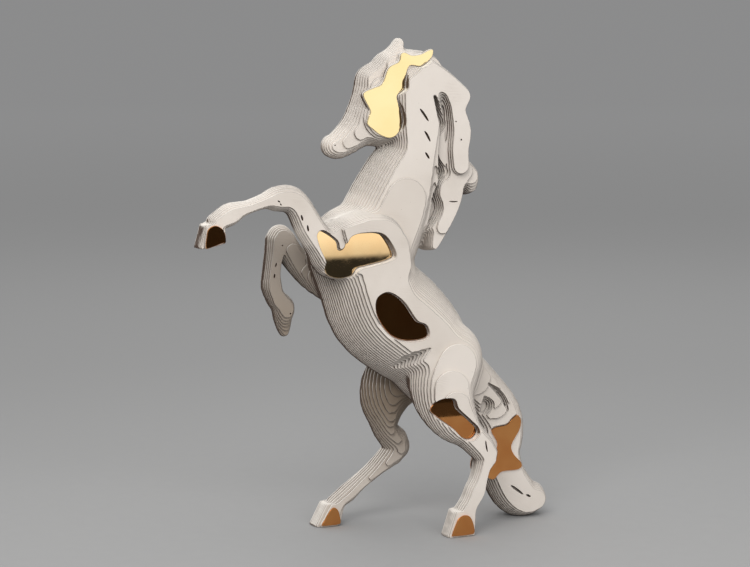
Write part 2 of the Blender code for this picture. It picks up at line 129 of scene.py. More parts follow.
# The photograph's camera: how far round from the left side and how far up it stands, in degrees,
# how far off it is and what height it looks at, in metres, its focal length in the photograph's
# pixels, and the width of Blender's own sensor in millimetres
CAMERA_TURN = -25.0
CAMERA_RISE = 7.5
CAMERA_DISTANCE = 2.2
CAMERA_TARGET = 0.254
FOCAL_PIXELS = 2200
PHOTO_WIDTH = 750
SENSOR_WIDTH = 36

# Paint and metal
CREAM = (0.835, 0.765, 0.695)
# Next: a darker cream for the faces' random mottle and for painted shade on cut edges that face
# down, then a paler cream for painted light on cut edges that face up
CREAM_MOTTLE_AND_PAINTED_SHADE = (0.74, 0.67, 0.60)
CREAM_PAINTED_LIGHT = (0.88, 0.83, 0.765)
RIPPLE_BROWN = (0.50, 0.41, 0.33)
SPECK_BROWN = (0.33, 0.25, 0.19)
UMBER = (0.075, 0.042, 0.026)
INNER_SHADE = (0.30, 0.235, 0.175)
SLIT_DARK = (0.05, 0.03, 0.02)
SLIT_PALE = (0.16, 0.10, 0.065)
# Near-black of the strip that the lower plates mirror, a painted dark reflection
SHADE_DARK = (0.012, 0.010, 0.009)
SHADE_PALE = (0.022, 0.019, 0.017)

# The metal of the cheek and chest plates, and of all others: a name and the two colours it drifts
# between
GOLDS = {
    "cheek": ("gold_light", (0.90, 0.78, 0.47), (0.88, 0.74, 0.42)),
    "chest": ("gold_warm", (0.96, 0.74, 0.44), (0.94, 0.68, 0.38)),
}
DEEP_GOLD = ("gold_deep", (0.80, 0.36, 0.12), (0.72, 0.29, 0.09))

# Round these places, in the body's frame, the cut edges are pale, with less of their umber scorch
# and painted shade: x, z and how far they reach
PALE_PLACES = [
    (82, 182, 52), (30, 292, 42), (-30, 328, 26), (-150, 338, 40), (-46, 400, 20), (22, 486, 22),
    (90, 48, 30), (95, 450, 30), (-92, 312, 16), (64, 12, 24), (-38, 12, 18),
]

# A station: its place fore and aft, its height, its place to the side, then half the limb's
# depth seen from the side and half its width seen from the front, all in units
Station = namedtuple("Station", "x z y deep wide")

# A limb: how much of its depth has the full width before its edge slopes off, and its stations
Limb = namedtuple("Limb", "flat stations")
LIMBS = {
    "trunk": Limb(0.36, [
        Station(-26, 288, 0, 47, 44),
        Station(-10, 260, 0, 52, 48),
        Station(3, 233, 0, 55, 48),
        Station(26, 213, 0, 55, 48),
        Station(50, 192, 0, 50, 48),
        Station(66, 168, 0, 44, 46),
        Station(76, 156, 0, 37, 40),
    ]),
    "left_shoulder": Limb(0.72, [
        Station(-44, 296, -20, 29, 28),
        Station(-14, 298, -20, 33, 28),
        Station(0, 278, -20, 23, 28),
    ]),
    "right_shoulder": Limb(0.72, [
        Station(-36, 292, 20, 29, 28),
        Station(-14, 298, 20, 33, 28),
        Station(0, 278, 20, 23, 28),
    ]),
    "neck": Limb(0.5, [
        Station(0, 300, 0, 48, 34),
        Station(14, 330, 0, 45, 34),
        Station(25, 358, 0, 38, 33.5),
        Station(35, 386, 0, 28, 33),
        Station(37, 416, 0, 33, 33),
        Station(36, 446, 0, 32, 33),
    ]),
    "head": Limb(0.3, [
        Station(-1, 450, 0, 22, 18),
        Station(-5, 426, 0, 24, 19),
        Station(-23, 406, 0, 18, 17),
        Station(-40, 394, 0, 14, 13.5),
        Station(-47, 393, 0, 11.5, 12),
    ]),
    "cheek": Limb(0.6, [
        Station(6, 438, 0, 26, 22.5),
        Station(1, 421, 0, 30, 22.5),
    ]),
    "poll": Limb(0.5, [
        Station(12, 472, 0, 12, 17),
        Station(32, 473, 0, 14, 22.5),
        Station(52, 472, 0, 12, 22.5),
    ]),
    "forelock": Limb(0.4, [
        Station(-8, 459, 0, 11, 15),
        Station(7, 469, 0, 10.5, 15),
        Station(19, 480, 0, 9.5, 12),
        Station(25, 493, 0, 5, 8),
    ]),
    "left_foreleg": Limb(0.5, [
        Station(-47, 285, -24, 22, 24),
        Station(-62, 288, -29, 21, 19),
        Station(-75, 302, -33, 16.5, 15),
        Station(-88, 320, -35, 15, 13),
        Station(-98, 338, -35, 13.5, 12.5),
        Station(-108, 346, -35, 13.5, 12),
        Station(-121, 346.5, -35, 12, 12),
        Station(-133, 345, -35, 7.5, 11.5),
        Station(-150, 340, -35, 6.5, 11.5),
        Station(-161, 337, -35, 8.5, 11.5),
        Station(-170, 333, -35, 11, 12),
        Station(-183, 327, -35, 8.5, 11.5),
    ]),
    "right_foreleg": Limb(0.5, [
        Station(-32, 264, 20, 32, 22),
        Station(-58, 262, 29, 14, 14),
        Station(-75, 281, 33, 13, 12.5),
        Station(-89, 301, 34, 13, 12.5),
        Station(-95, 285, 34, 9.5, 12),
        Station(-98, 268, 34, 8.5, 12),
        Station(-98, 252, 34, 10.5, 12),
        Station(-94, 240, 34, 8.5, 12),
    ]),
    "right_fore_hoof": Limb(0.5, [
        Station(-92, 239, 34, 9, 12),
        Station(-86, 231, 34, 12, 12),
        Station(-85, 221, 37, 10, 9.5),
        Station(-83, 211, 40, 7.5, 6.5),
        Station(-82, 205, 41, 5, 5.5),
    ]),
    "left_hind_leg": Limb(0.5, [
        Station(68, 174, -22, 41, 27),
        Station(61, 156, -28, 37, 23),
        Station(62, 138, -33, 32, 20.5),
        Station(70, 119, -38, 25, 17.5),
        Station(83, 103, -42, 16.5, 14.5),
        Station(101, 82, -45, 13.5, 12.5),
        Station(97, 68, -46, 8, 11.5),
        Station(93, 55, -47, 7.5, 11.5),
        Station(89, 44, -47, 10, 11.5),
        Station(83, 33, -47, 8.5, 11.5),
        Station(78, 25, -47, 9.5, 11.5),
    ]),
    "right_hind_leg": Limb(0.2, [
        Station(60, 169, 25, 38, 23),
        Station(36, 150, 32, 34, 21),
        Station(28, 132, 36, 28, 20),
        Station(28, 113, 39, 19, 18.5),
        Station(31, 96, 42, 13.5, 16),
        Station(45, 76, 45, 15, 14.5),
        Station(24, 56, 47.5, 9.5, 13),
        Station(4, 41, 49, 8.5, 12),
        Station(-8, 31, 50, 10, 12),
        Station(-17, 25, 50, 9, 12),
        Station(-23, 20, 50, 9.5, 12),
    ]),
    "tail": Limb(0.5, [
        Station(98, 158, 0, 26, 24),
        Station(122, 133, 2, 26, 21),
        Station(139, 108, 4, 29, 19),
        Station(142, 88, 5, 30, 19),
        Station(141, 70, 5, 27, 19),
        Station(148, 48, 5, 24, 19),
        Station(158, 30, 5, 24, 19),
        Station(170, 19, 5, 21.5, 19),
        Station(181, 18, 5, 17, 18),
    ]),
    "mane_root": Limb(0.2, [
        Station(46, 440, 0, 12, 31),
        Station(57, 414, 0, 13, 31),
        Station(58, 388, 0, 13, 31),
        Station(59, 362, 0, 13, 30),
        Station(58, 338, 0, 13, 26),
        Station(50, 314, 0, 12, 26),
    ]),
    "mane_crest": Limb(0.5, [
        Station(46, 464, 0, 19, 33),
        Station(62, 455, 0, 17, 33),
        Station(80, 440, 0, 17, 33),
    ]),
    "mane": Limb(0.5, [
        Station(74, 437, 0, 12, 33),
        Station(77, 424, 0, 13.5, 33),
        Station(81, 406, 0, 17, 33),
        Station(79, 388, 0, 16, 33),
        Station(80, 372, 0, 16, 32),
    ]),
    "mane_curl": Limb(0.5, [
        Station(83, 366, 0, 18, 27),
        Station(95, 360, 0, 15, 24),
        Station(99, 350, 0, 10.5, 18),
    ]),
    "mane_end": Limb(0.5, [
        Station(76, 352, 0, 17, 28),
        Station(73, 337, 0, 16.5, 28),
        Station(67, 321, 0, 15, 27),
        Station(60, 305, 0, 11.5, 26),
        Station(55, 292, 0, 7, 24),
    ]),
}

# What is carved out of the body, written like the limbs
MANE_GROOVE = Limb(0.0, [
    Station(50, 441, 0, 2, 14),
    Station(57, 427, 0, 6, 22),
    Station(63, 413, 0, 8.5, 24),
    Station(59, 403, 0, 3, 16),
    Station(57, 389, 0, 2, 14),
    Station(58, 378, 0, 4, 18),
    Station(62, 365, 0, 8.5, 24),
    Station(58, 353, 0, 4, 18),
    Station(55, 342, 0, 6, 21),
    Station(56, 329, 0, 9.5, 25),
    Station(50, 314, 0, 7, 22),
    Station(41, 297, 0, 3, 16),
])


def beside(limb, y):
    """The same limb moved to the side."""
    return Limb(limb.flat, [station._replace(y=station.y + y) for station in limb.stations])


CARVINGS = {
    "left_mane_groove": beside(MANE_GROOVE, -38),
    "right_mane_groove": beside(MANE_GROOVE, 38),
    "left_chest_crease": Limb(0.0, [Station(-57, 318, -54, 3, 11), Station(-52, 300, -54, 3, 11)]),
    "left_flank_fold": Limb(0.0, [Station(46, 197, -52, 1, 2), Station(30, 187, -52, 7, 12),
                                  Station(8, 172, -52, 17, 30)]),
    "tail_pocket": Limb(0.0, [Station(114, 134, -24, 2, 6), Station(118, 124, -24, 9, 16),
                              Station(116, 118, -24, 8, 15)]),
    "tail_crease": Limb(0.0, [Station(118, 147, -26, 2, 9), Station(134, 134, -26, 5, 16),
                              Station(143, 119, -26, 4, 15), Station(146, 110, -26, 2, 9)]),
}


# A hoof: the middle of its sole, the middle of its top, half its length and half its width at
# the sole and at the top, and how far its sole leans from level, in degrees
Hoof = namedtuple("Hoof", "sole top long wide top_long top_wide lean")
HOOVES = {
    "left_hind_hoof": Hoof((70, 0, -47.5), (75, 26, -47.5), 15.5, 12, 11.5, 11.5, 0),
    "right_hind_hoof": Hoof((-34, 0, 50), (-25, 23, 50), 14.5, 12, 11, 11.5, 0),
    "left_fore_hoof": Hoof((-189, 305, -35), (-186, 327, -35), 14, 12, 10.5, 11.5, 10.5),
}

# A gold plate: the side it's on, the number of the board behind it counted from the middle one,
# and the points that its smooth outline goes through, across and up, in units
Plate = namedtuple("Plate", "side board points")
LEFT_CHEEK = [
    (52, 486), (50, 479), (39, 471), (26, 471), (21, 457), (20, 449), (13, 443), (13, 437),
    (16, 429), (18, 417), (16, 409), (11, 403), (4, 401), (-5, 404), (-12, 409), (-19, 415),
    (-18, 421), (-16, 428), (-23, 441), (-22, 446), (-12, 450), (-3, 454), (4, 469), (15, 475),
    (17, 482), (21, 484), (29, 481), (39, 482), (48, 486),
]
RIGHT_CHEEK = [(26, 472), (14, 444), (17, 416), (6, 400), (-10, 408), (-8, 430), (4, 462)]
LEFT_CHEST = [
    (-82, 311), (-76, 314), (-61, 304), (-58, 295), (-52, 296), (-46, 307), (-30, 310),
    (-12, 307), (0, 289), (-5, 283), (-24, 279), (-38, 276), (-44, 269), (-58, 267),
    (-70, 272), (-73, 286), (-79, 299),
]
RIGHT_CHEST = [(-50, 300), (-30, 308), (-10, 302), (0, 288), (-20, 276), (-44, 278)]
BELLY = [
    (-17, 247), (-6, 250), (9, 240), (23, 221), (34, 215), (35, 204), (14, 202), (-4, 209),
    (-17, 226), (-20, 239),
]
LEFT_THIGH = [
    (38, 131), (46, 139), (61, 140), (66, 130), (80, 117), (89, 107), (84, 99), (74, 100),
    (61, 112), (46, 123),
]
RIGHT_THIGH = [(14, 142), (24, 150), (36, 144), (46, 128), (42, 114), (30, 112), (19, 124)]
TAIL = [
    (150, 107), (156, 110), (160, 104), (158, 94), (149, 79), (152, 69), (161, 59), (158, 53),
    (138, 52), (129, 45), (122, 48), (122, 60), (133, 80), (126, 97), (143, 101),
]
LEFT_HIND_SOLE = [
    (58, 3), (61, 11), (65, 19), (70, 22), (75, 22), (79, 19), (82, 12), (83, 4), (79, 2), (61, 2),
]
RIGHT_HIND_SOLE = [
    (-43, 3), (-39, 9), (-36, 14), (-33, 18), (-29, 20), (-25, 17), (-23, 11), (-22, 4), (-25, 2),
    (-40, 2),
]
LEFT_FORE_SOLE = [
    (-198, 305), (-197, 315), (-195, 322), (-189, 325), (-183, 323), (-179, 318), (-178, 309),
    (-182, 308), (-195, 304),
]
PLATES = {
    "left_cheek": Plate(-1, 4, LEFT_CHEEK),
    "right_cheek": Plate(1, 4, RIGHT_CHEEK),
    "left_chest": Plate(-1, 7, LEFT_CHEST),
    "right_chest": Plate(1, 7, RIGHT_CHEST),
    "left_belly": Plate(-1, 8, BELLY),
    "right_belly": Plate(1, 8, BELLY),
    "left_thigh": Plate(-1, 9, LEFT_THIGH),
    "right_thigh": Plate(1, 10, RIGHT_THIGH),
    "left_tail": Plate(-1, 2, TAIL),
    "right_tail": Plate(1, 4, TAIL),
    "left_hind_hoof": Plate(-1, 11, LEFT_HIND_SOLE),
    "right_hind_hoof": Plate(-1, -8, RIGHT_HIND_SOLE),
    "left_fore_hoof": Plate(-1, 9, LEFT_FORE_SOLE),
}

# A slit or hole: the board it is cut in, counted from the middle one, the points along its
# middle, and its width there
Slit = namedtuple("Slit", "board points width")
SLITS = [
    Slit(-6, [(34, 429), (38, 424), (43, 417)], 2.0),
    Slit(-6, [(39, 407), (42, 403), (45, 397)], 1.9),
    Slit(-6, [(40, 386), (42, 383), (44, 380)], 1.8),
    Slit(-9, [(-111, 340), (-108.5, 336.5), (-107, 333)], 1.8),
    Slit(-9, [(-100, 331), (-99, 328.5), (-98.5, 326)], 1.6),
    Slit(-9, [(-93.5, 321), (-93, 318), (-92.5, 315.5)], 1.5),
    Slit(-9, [(-141.5, 345), (-139, 343.7), (-136.5, 342.7)], 1.2),
    Slit(-9, [(-181, 327), (-177, 327.3), (-172, 326.5)], 1.4),
    Slit(-9, [(-124, 346), (-122, 344.5)], 0.9),
    Slit(-9, [(-121.5, 343), (-120.5, 341.5)], 0.9),
    Slit(-3, [(-39, 402), (-37, 399.5), (-33, 397.5)], 2.1),
    Slit(-2, [(-53, 396.5), (-52, 394), (-50, 392.5)], 2.2),
    Slit(-2, [(-49, 395), (-48.5, 394)], 1.0),
    Slit(-2, [(-47, 389), (-45.5, 388), (-45.5, 385.5)], 2.0),
    Slit(-1, [(-53.5, 388), (-51.5, 384.5), (-50.5, 382.5)], 1.1),
    Slit(-7, [(56, 452), (57, 451)], 1.2),
    Slit(-6, [(70, 416), (71, 415.5)], 1.2),
    Slit(-6, [(73, 416), (74, 415.5)], 0.9),
    Slit(-6, [(79, 398), (80, 397)], 1.4),
    Slit(-6, [(66, 384), (67, 383.5)], 1.0),
    Slit(-4, [(66, 346), (67, 345)], 1.4),
    Slit(-5, [(69, 336), (74, 335.5), (78, 335.5)], 0.8),
    Slit(-6, [(73, 369), (79, 368.5), (84, 364)], 1.6),
    Slit(-4, [(100, 366.5), (101, 364.5)], 1.2),
    Slit(5, [(-97, 277), (-98, 273.5)], 1.1),
    Slit(5, [(-99, 266), (-99.5, 262.5)], 1.3),
    Slit(5, [(-91, 294.5), (-90, 294)], 1.1),
    Slit(5, [(-82.5, 226), (-82, 225)], 1.1),
    Slit(-2, [(150, 36), (156, 31.5), (164, 25.5)], 2.2),
    Slit(-2, [(168, 24.5), (173, 22)], 1.8),
    Slit(-2, [(148, 20), (150, 13), (156, 8)], 1.4),
    Slit(-11, [(96, 96), (96.5, 91), (98, 85)], 1.2),
]


def capsule(point, a, b, flat):
    """How far a point lies outside the stretch between two stations, whose sides are flat."""
    x, y, z = point
    flatten = (a.deep + b.deep) * (1 - flat) / (a.wide + b.wide)
    along = ((b.x - a.x) * UNIT, (b.y - a.y) * UNIT * flatten, (b.z - a.z) * UNIT)
    reach = sum(c * c for c in along)
    off = (x - a.x * UNIT, (y - a.y * UNIT) * flatten, z - a.z * UNIT)
    t = np.clip(sum(o * c for o, c in zip(off, along)) / reach, 0, 1)
    deep = (a.deep + t * (b.deep - a.deep)) * UNIT
    wide = (a.wide + t * (b.wide - a.wide)) * UNIT
    edge = deep * (1 - flat)
    past_flat = np.maximum(np.hypot(off[0] - t * along[0], off[2] - t * along[2]) - deep * flat, 0)
    aside = np.abs(y - (a.y + t * (b.y - a.y)) * UNIT) * edge / wide
    return (past_flat**EDGE_POWER + aside**EDGE_POWER) ** (1 / EDGE_POWER) - edge


def smooth_union(a, b, width):
    """Two fields as one, with the crease between them filled where they come near each other."""
    h = np.clip(0.5 + 0.5 * (b - a) / width, 0, 1)
    return b + (a - b) * h - width * h * (1 - h)


def eased(stations):
    """The stations of a limb, with more on the smooth curve from each one to the next."""
    knots = np.array([stations[0], *stations, stations[-1]], float)
    curve = []
    for before, a, b, after in zip(knots, knots[1:], knots[2:], knots[3:]):
        for t in np.arange(STRETCHES) / STRETCHES:
            bend = t * (2 * before - 5 * a + 4 * b - after + t * (3 * (a - b) + after - before))
            curve.append(Station(*(a + t / 2 * (b - before + bend))))
    return curve + [stations[-1]]


def limb_field(point, limb):
    """How far a point lies outside a limb. Points clear of a stretch aren't measured from it."""
    x, y, z = point
    field = np.full(x.shape, FAR_OUTSIDE)
    stations = eased(limb.stations)
    for a, b in zip(stations, stations[1:]):
        aside = min(abs(y / UNIT - a.y) - a.wide, abs(y / UNIT - b.y) - b.wide)
        if aside > abs(a.y - b.y):
            continue
        around = (max(a.deep, b.deep) + 2 * BLEND) * UNIT
        near = (x > min(a.x, b.x) * UNIT - around) & (x < max(a.x, b.x) * UNIT + around)
        near &= (z > min(a.z, b.z) * UNIT - around) & (z < max(a.z, b.z) * UNIT + around)
        field[near] = np.minimum(field[near], capsule((x[near], y, z[near]), a, b, limb.flat))
    return field


def hoof_field(point, hoof):
    """Outside a leaning oval cone that is cut off flat at the sole and at the top."""
    x, y, z = point
    lean = math.radians(hoof.lean)
    up = (-math.sin(lean), math.cos(lean))
    ahead = (math.cos(lean), math.sin(lean))
    sx, sz, sy = (c * UNIT for c in hoof.sole)
    tx, tz, ty = (c * UNIT for c in hoof.top)
    height = (tx - sx) * up[0] + (tz - sz) * up[1]
    rise = ((x - sx) * up[0] + (z - sz) * up[1]) / height
    t = np.clip(rise, 0, 1)
    fore = (x - sx - t * (tx - sx)) * ahead[0] + (z - sz - t * (tz - sz)) * ahead[1]
    side = y - sy - t * (ty - sy)
    long = (hoof.long + t * (hoof.top_long - hoof.long)) * UNIT
    wide = (hoof.wide + t * (hoof.top_wide - hoof.wide)) * UNIT
    cone = (((fore / long) ** 4 + (side / wide) ** 4) ** 0.25 - 1) * np.minimum(long, wide)
    return np.maximum(cone, np.maximum(-rise, rise - 1) * height)


def body_field(point):
    """Below zero inside the horse. The point is arrays of x and z, and one y, in millimetres."""
    field = np.full(point[0].shape, FAR_OUTSIDE)
    for limb in LIMBS.values():
        field = smooth_union(field, limb_field(point, limb), BLEND * UNIT)
    for hoof in HOOVES.values():
        field = smooth_union(field, hoof_field(point, hoof), HOOF_BLEND * UNIT)
    for carving in CARVINGS.values():
        field = np.maximum(field, -limb_field(point, carving))
    return np.maximum(field, -point[2])


def smooth_outline(points, steps=4):
    """A closed curve through the points, as Catmull and Rom draw it."""
    p = np.array(points, float) * UNIT
    before, after, beyond = np.roll(p, 1, 0), np.roll(p, -1, 0), np.roll(p, -2, 0)
    runs = []
    for t in np.arange(steps) / steps:
        chord = 2 * p + (after - before) * t
        bend = (2 * before - 5 * p + 4 * after - beyond) * t**2
        twist = (3 * p - before - 3 * after + beyond) * t**3
        runs.append(0.5 * (chord + bend + twist))
    return np.stack(runs, axis=1).reshape(-1, 2)


def area(loop):
    """The area in a closed line, below zero where it runs clockwise."""
    x, z = loop[:, 0], loop[:, 1]
    return 0.5 * float(np.sum(x * np.roll(z, -1) - np.roll(x, -1) * z))


def holds(loop, x, z):
    """Whether a closed line goes round each of these points."""
    inside = np.zeros(np.shape(x), bool)
    for (ax, az), (bx, bz) in zip(loop, np.roll(loop, -1, 0)):
        if az != bz:
            crosses = (az > z) != (bz > z)
            inside ^= crosses & (x < ax + (z - az) * (bx - ax) / (bz - az))
    return inside


def loop_field(loop, x, z):
    """How far each point lies outside a closed line, below zero inside it."""
    nearest = np.full(x.shape, np.inf)
    for a, b in zip(loop, np.roll(loop, -1, 0)):
        along = b - a
        t = np.clip(((x - a[0]) * along[0] + (z - a[1]) * along[1]) / (along @ along), 0, 1)
        nearest = np.minimum(nearest, np.hypot(x - a[0] - t * along[0], z - a[1] - t * along[1]))
    return np.where(holds(loop, x, z), -nearest, nearest)


def board_field(body, index, plate_fields):
    """A board's section, grown behind the plates that rest on it and cut away in front of them."""
    field = body
    for name, plate in PLATES.items():
        seat = plate.side * plate.board
        above = (index - seat) * plate.side
        if above == 0:
            field = np.minimum(field, plate_fields[name] - PLATE_MARGIN)
        elif 0 < above <= WINDOW_DEPTH:
            field = np.maximum(field, PLATE_CLEARANCE - plate_fields[name])
    return field


def sample_grid():
    """The x and z of the points where each section is sampled, with a margin all round."""
    stations = [s for limb in LIMBS.values() for s in limb.stations]
    hooves = list(HOOVES.values())
    low = min([s.x - s.deep for s in stations] + [h.sole[0] - 2 * h.long for h in hooves])
    high = max([s.x + s.deep for s in stations] + [h.sole[0] + 2 * h.long for h in hooves])
    top = max(s.z + s.deep for s in stations)
    xs = np.arange((low - BLEND) * UNIT, (high + BLEND) * UNIT, GRID)
    zs = np.arange(-3.5 * GRID, (top + BLEND) * UNIT, GRID)
    return xs, zs


# Each cell of the grid, by which of its corners are inside: the edges that the outline crosses,
# in pairs, in the order that keeps the inside on its left. Edges: 0 below, 1 right, 2 above, 3 left
CROSSINGS = {
    1: [(0, 3)], 2: [(1, 0)], 3: [(1, 3)], 4: [(2, 1)], 5: [(0, 3), (2, 1)],
    6: [(2, 0)], 7: [(2, 3)], 8: [(3, 2)], 9: [(0, 2)], 10: [(1, 0), (3, 2)],
    11: [(1, 2)], 12: [(3, 1)], 13: [(0, 1)], 14: [(3, 0)],
}


def outlines(field, xs, zs):
    """The closed lines where the field is zero, outer ones anticlockwise and holes clockwise."""
    inside = field < 0
    case = (
        inside[:-1, :-1] * 1 + inside[1:, :-1] * 2 + inside[1:, 1:] * 4 + inside[:-1, 1:] * 8
    )
    follows = {}
    for i, j in zip(*np.nonzero((case > 0) & (case < 15))):
        edges = ((i, j, 0), (i + 1, j, 1), (i, j + 1, 0), (i, j, 1))
        for start, end in CROSSINGS[int(case[i, j])]:
            follows[edges[start]] = edges[end]

    def crossing(edge):
        """Where the outline crosses an edge of the grid."""
        i, j, upright = edge
        to_i, to_j = (i, j + 1) if upright else (i + 1, j)
        t = field[i, j] / (field[i, j] - field[to_i, to_j])
        t = min(max(t, CORNER_SHARE), 1 - CORNER_SHARE)
        return xs[i] + t * (xs[to_i] - xs[i]), zs[j] + t * (zs[to_j] - zs[j])

    loops = []
    while follows:
        edge, following = follows.popitem()
        loop = [crossing(edge)]
        while following in follows:
            loop.append(crossing(following))
            following = follows.pop(following)
        loops.append(np.array(loop))
    return loops


def pieces(field, xs, zs):
    """The separate pieces of board in a section, largest first, each an outline and its holes."""
    loops = [evened(loop, POINT_SPACING) for loop in outlines(field, xs, zs)]
    rims = sorted((loop for loop in loops if area(loop) > SMALLEST_PIECE), key=area, reverse=True)
    holes = [loop for loop in loops if area(loop) < -SMALLEST_HOLE]
    return [[rim] + [hole for hole in holes if holds(rim, *hole[0])] for rim in rims]


def side_name(index):
    """What the names of a board's solids say of its place."""
    if index == 0:
        return "middle"
    return f"{'left' if index < 0 else 'right'}_{abs(index):02d}"


def field_near(points, x, z):
    """How far each point of the grid lies outside a smooth closed line, up to a limit."""
    loop = smooth_outline(points, steps=8)
    low, high = loop.min(axis=0) - PLATE_REACH, loop.max(axis=0) + PLATE_REACH
    near = (x > low[0]) & (x < high[0]) & (z > low[1]) & (z < high[1])
    field = np.full(x.shape, PLATE_REACH)
    field[near] = loop_field(loop, x[near], z[near])
    return field


def evened(loop, spacing):
    """The outline with its points the same distance apart."""
    closed = np.vstack([loop, loop[:1]])
    along = np.concatenate([[0], np.cumsum(np.hypot(*np.diff(closed, axis=0).T))])
    at = np.linspace(0, along[-1], max(int(along[-1] / spacing), 10), endpoint=False)
    return np.column_stack([np.interp(at, along, closed[:, 0]), np.interp(at, along, closed[:, 1])])


def inset(loop, distance):
    """The outline moved into the material on its left, less where it would fold over itself."""
    ahead = np.roll(loop, -1, 0) - loop
    length = np.maximum(np.hypot(*ahead.T), 1e-6)
    left = np.column_stack([-ahead[:, 1], ahead[:, 0]]) / length[:, None]
    middle = left + np.roll(left, 1, 0)
    middle /= np.maximum((middle**2).sum(axis=1) / 2, MITRE_LIMIT)[:, None]
    reach = np.full(len(loop), distance)
    for _ in range(FOLD_TRIES):
        moved = loop + middle * reach[:, None]
        kept = ((np.roll(moved, -1, 0) - moved) * ahead).sum(axis=1)
        folded = kept < LEAST_KEPT * length**2
        if not folded.any():
            break
        reach[folded | np.roll(folded, 1)] *= FOLD_EASING
    return moved


def rounded_rows(thickness, radius):
    """How deep and how far in each row of points lies, from the front face's rim to the back's."""
    turns = [math.pi / 2 * step / EDGE_STEPS for step in range(EDGE_STEPS + 1)]
    front = [(radius * (1 - math.cos(t)), radius * (1 - math.sin(t))) for t in turns]
    return front + [(thickness - depth, far_in) for depth, far_in in reversed(front)]


def facing(points, a, b, c, back):
    """A cap's triangle, turned so that it faces out of the front or the back of its slab."""
    (ax, _, az), (bx, _, bz), (cx, _, cz) = points[a], points[b], points[c]
    left_turn = (bx - ax) * (cz - az) - (bz - az) * (cx - ax) > 0
    return (a, b, c) if left_turn != back else (a, c, b)


def caps(points, rims):
    """The triangles that close a slab's front and back."""
    faces = []
    for rim, back in zip(rims, (False, True)):
        order = [index for ring in rim for index in ring]
        outlines = [[(points[i][0], points[i][2], 0) for i in ring] for ring in rim]
        for a, b, c in tessellate_polygon(outlines):
            faces.append(facing(points, order[a], order[b], order[c], back))
    return faces


def slab(name, edges, y, thickness, finishes):
    """A flat piece with rounded edges, whose middle is in the plane y. Each edge is an outline of
    x and z that has the material on its left, the radius it is rounded to, and which of the
    finishes its wall has."""
    points, faces, slots, rims = [], [], [], ([], [])
    for loop, radius, slot in edges:
        count, start = len(loop), len(points)
        rows = rounded_rows(thickness, radius)
        for depth, far_in in rows:
            points.extend((x, y - thickness / 2 + depth, z) for x, z in inset(loop, far_in))
        rims[0].append(range(start, start + count))
        rims[1].append(range(len(points) - count, len(points)))
        for row in range(len(rows) - 1):
            a, b = start + row * count, start + (row + 1) * count
            for i in range(count):
                following = (i + 1) % count
                faces.append((a + i, a + following, b + following, b + i))
        slots += [slot] * (len(faces) - len(slots))
    sides = len(faces)
    faces += caps(points, rims)
    slots += [0] * (len(faces) - sides)
    mesh = bpy.data.meshes.new(name)
    placed = [((x + SHIFT_X) * MM, (py + SHIFT_Y) * MM, z * MM) for x, py, z in points]
    mesh.from_pydata(placed, [], faces)
    mesh.polygons.foreach_set("use_smooth", [True] * sides + [False] * (len(faces) - sides))
    mesh.polygons.foreach_set("material_index", slots)
    for finish in finishes:
        mesh.materials.append(finish)
    mesh.update()
    made = bpy.data.objects.new(name, mesh)
    bpy.context.scene.collection.objects.link(made)
    return made


def stands_for(made, node_name):
    """Puts a piece in place of a solid."""
    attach(made, "root")
    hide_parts(node_name)


def solids_of(index):
    """The solids cut from one place in the body, each with the box that it fills: low and high."""
    stem = f"board_{side_name(index)}"
    boxes = {}
    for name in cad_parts:
        if name == stem or name.startswith(stem + "_"):
            corners = [np.array((c.x / MM - SHIFT_X, c.z / MM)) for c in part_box(name)]
            boxes[name] = corners
    return boxes


def solid_like(boxes, loop):
    """The solid whose box shares most with the box of an outline."""
    low, high = loop.min(axis=0), loop.max(axis=0)
    shared = {}
    for name, (box_low, box_high) in boxes.items():
        common = np.prod(np.clip(np.minimum(high, box_high) - np.maximum(low, box_low), 0, None))
        both = np.prod(high - low) + np.prod(box_high - box_low) - common
        shared[name] = common / both
    name = max(shared, key=shared.get)
    return name if shared[name] > 0 else None


def sampled(grid, xs, zs, loop):
    """The grid's values at the points of an outline."""
    i = np.clip(((loop[:, 0] - xs[0]) / GRID).round().astype(int), 0, len(xs) - 1)
    j = np.clip(((loop[:, 1] - zs[0]) / GRID).round().astype(int), 0, len(zs) - 1)
    return grid[i, j]


def give_lean(made, leans):
    """Stores at each point which side of the board the body falls away to, from -1 to 1."""
    values = []
    for lean in leans:
        values.extend(np.tile(lean, 2 * (EDGE_STEPS + 1)))
    made.data.attributes.new("lean", "FLOAT", "POINT").data.foreach_set("value", values)


def fits(slit, loops):
    """Whether a slit lies inside a piece of board, clear of all its edges."""
    if not holds(loops[0], slit[:, 0], slit[:, 1]).all():
        return False
    apart = slit[:, None] - np.vstack(loops)[None]
    return np.hypot(apart[..., 0], apart[..., 1]).min() > SLIT_CLEARANCE


def ply_middle(cut):
    """The y of the middle of a thin board."""
    return (cut + 0.5) * PLY_PITCH - BOARD_PITCH / 2


def body_sections(x, z):
    """The section of the body at the middle of every thin board, by the board's count."""
    plate_fields = {name: field_near(plate.points, x, z) for name, plate in PLATES.items()}
    most = int(max(abs(h.sole[2]) + h.wide for h in HOOVES.values()) * UNIT / BOARD_PITCH)
    sections = {}
    for cut in range(-most * PLIES, (most + 1) * PLIES):
        body = body_field((x, ply_middle(cut), z))
        sections[cut] = board_field(body, cut // PLIES, plate_fields)
    return sections


